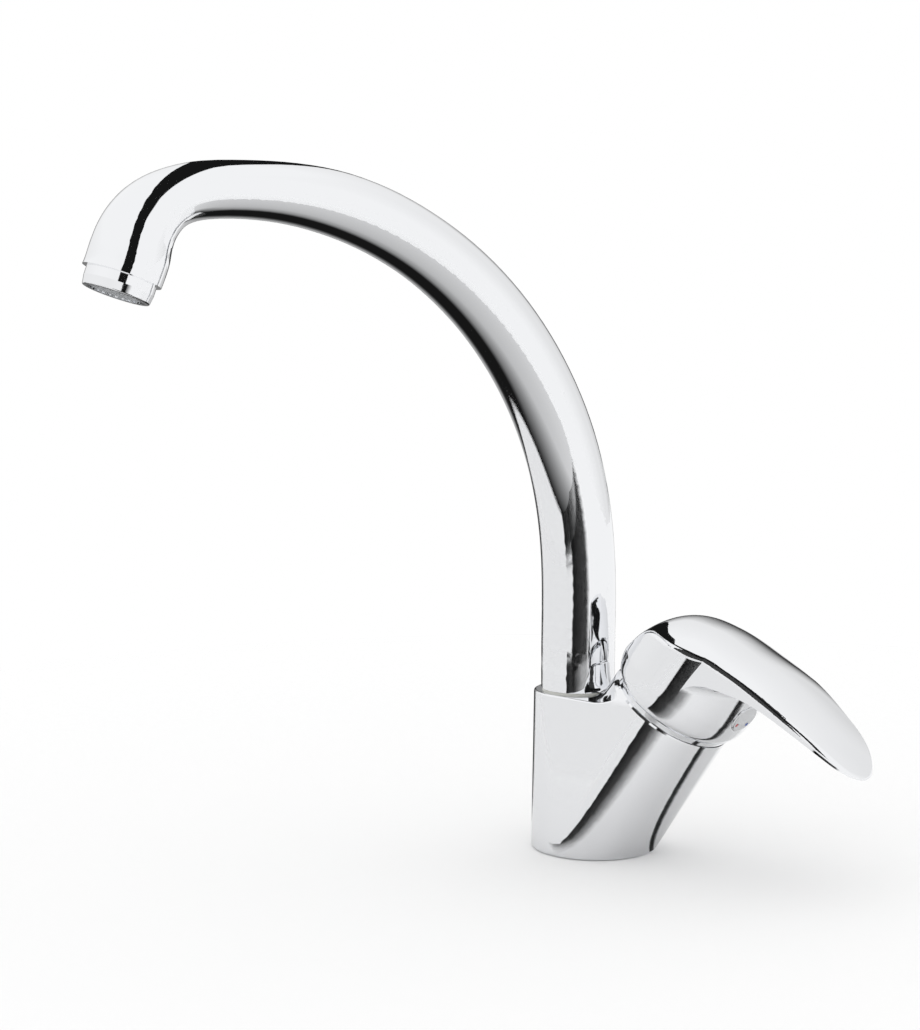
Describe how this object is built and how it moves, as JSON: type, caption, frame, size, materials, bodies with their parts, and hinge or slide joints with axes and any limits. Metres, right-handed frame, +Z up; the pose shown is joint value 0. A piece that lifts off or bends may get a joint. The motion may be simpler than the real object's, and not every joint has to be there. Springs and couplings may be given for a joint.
{
  "type": "kitchen mixer tap",
  "caption": "Chrome single-lever kitchen mixer tap: tilted cartridge tower with a paddle lever beside a tall, swivelling arched spout with an aerator.",
  "frame": {"origin": "centre of the round base, on the worktop", "axes": "+Z up, +X from the spout column towards the lever, -Y towards the user at rest"},
  "size_m": [0.2264, 0.2293, 0.2757],
  "materials": {
    "chrome": "polished chromium plate",
    "plated_abs": "chromium plated, polished",
    "hot_red": "moulded in, glossy",
    "cold_blue": "moulded in, glossy",
    "brass": "turned",
    "steel": "turned stainless",
    "alumina": "lapped",
    "acetal": "moulded",
    "aerator_plastic": "moulded",
    "rubber": "moulded, matt"
  },
  "bodies": {
    "body": {"body_casting": "chrome", "base_gasket": "rubber", "cartridge_base": "acetal", "cartridge_port_seals": "rubber", "fixed_ceramic_disc": "alumina", "cartridge_housing": "acetal", "cartridge_nut": "brass", "dome_cover": "chrome", "spout_slip_ring": "acetal", "spout_retaining_screw": "steel"},
    "spout": {"spout_tube": "chrome", "spout_spigot": "brass", "lower_spout_o_ring": "rubber", "upper_spout_o_ring": "rubber", "aerator_shell": "chrome", "aerator_insert": "aerator_plastic", "aerator_strainer": "aerator_plastic", "aerator_gasket": "rubber"},
    "rotor": {"cartridge_rotor": "acetal", "stem_pivot_pin": "steel"},
    "handle": {"handle_lever": "chrome", "cartridge_stem": "brass", "handle_set_screw": "steel", "index_plug": "plated_abs", "hot_mark": "hot_red", "cold_mark": "cold_blue"},
    "disc": {"disc_carrier": "acetal", "moving_ceramic_disc": "alumina"}
  },
  "joints": [
    {"name": "spout_swivel", "type": "hinge", "parent": "body", "child": "spout", "pos_m": [-0.0075, 0, 0.05], "axis": [0, 0, 1], "continuous": true},
    {"name": "handle_turn", "type": "hinge", "parent": "body", "child": "rotor", "pos_m": [0.0361, 0, 0.061], "axis": [0.5592, 0, 0.829], "range_deg": [-40, 60]},
    {"name": "handle_lift", "type": "hinge", "parent": "rotor", "child": "handle", "pos_m": [0.04057, 0, 0.06763], "axis": [-0.144, -0.9848, 0.0971], "range_deg": [0, 20]},
    {"name": "disc_slide", "type": "slide", "parent": "rotor", "child": "disc", "axis": [0.8164, -0.1736, -0.5507], "range_m": [0, 0.0049]}
  ],
  "couplings": [
    {"joint": "disc_slide", "follows": "handle_lift", "m_per_rad": 0.013717}
  ]
}
